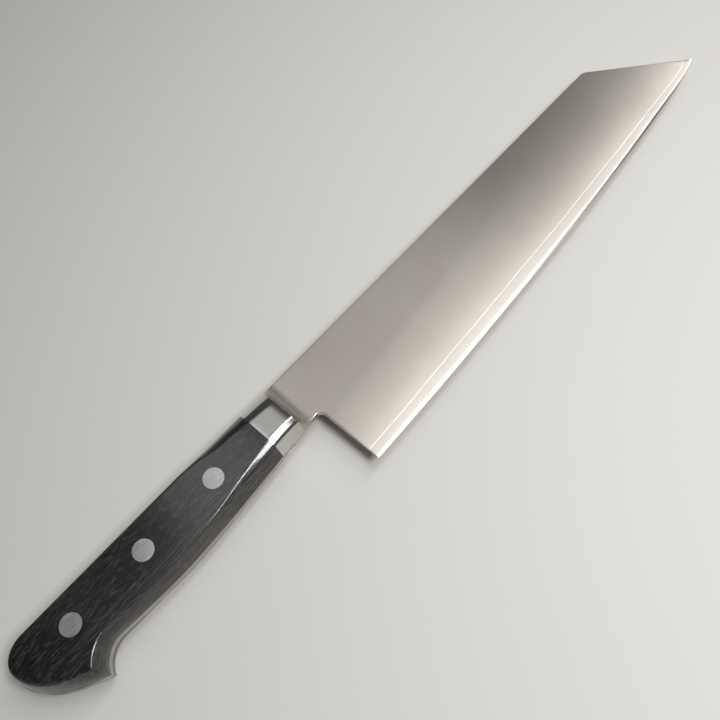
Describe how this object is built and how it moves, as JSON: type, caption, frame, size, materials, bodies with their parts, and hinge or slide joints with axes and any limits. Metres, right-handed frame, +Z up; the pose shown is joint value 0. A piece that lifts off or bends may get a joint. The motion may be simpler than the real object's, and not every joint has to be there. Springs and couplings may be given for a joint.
{
  "type": "kiritsuke knife",
  "caption": "Full-tang kitchen knife with a layered K-tip blade, a ground steel bolster and black laminated wood scales held by flush rivets.",
  "frame": {"origin": "bottom centre of the bounding box: the middle of the footprint, on the surface that the knife lies on", "axes": "+X along the blade to the tip, +Y from the edge to the spine, +Z up out of the right side of the knife, which lies on its left side"},
  "size_m": [0.377, 0.0508, 0.0184],
  "materials": {
    "core_steel": "fine satin, hardened steel",
    "cladding_steel": "satin, ground lengthwise",
    "tang_steel": "satin, edge ground flush with the scales",
    "bolster_steel": "polished",
    "scale_wood": "black resin-filled laminate, low sheen",
    "rivet_steel": "ground flush, satin"
  },
  "bodies": {
    "root": {"blade_core": "core_steel", "right_cladding": "cladding_steel", "left_cladding": "cladding_steel", "tang": "tang_steel", "right_bolster": "bolster_steel", "left_bolster": "bolster_steel", "right_scale": "scale_wood", "left_scale": "scale_wood", "front_rivet_pin": "rivet_steel", "front_rivet_tube": "rivet_steel", "middle_rivet_pin": "rivet_steel", "middle_rivet_tube": "rivet_steel", "rear_rivet_pin": "rivet_steel", "rear_rivet_tube": "rivet_steel"}
  },
  "joints": []
}
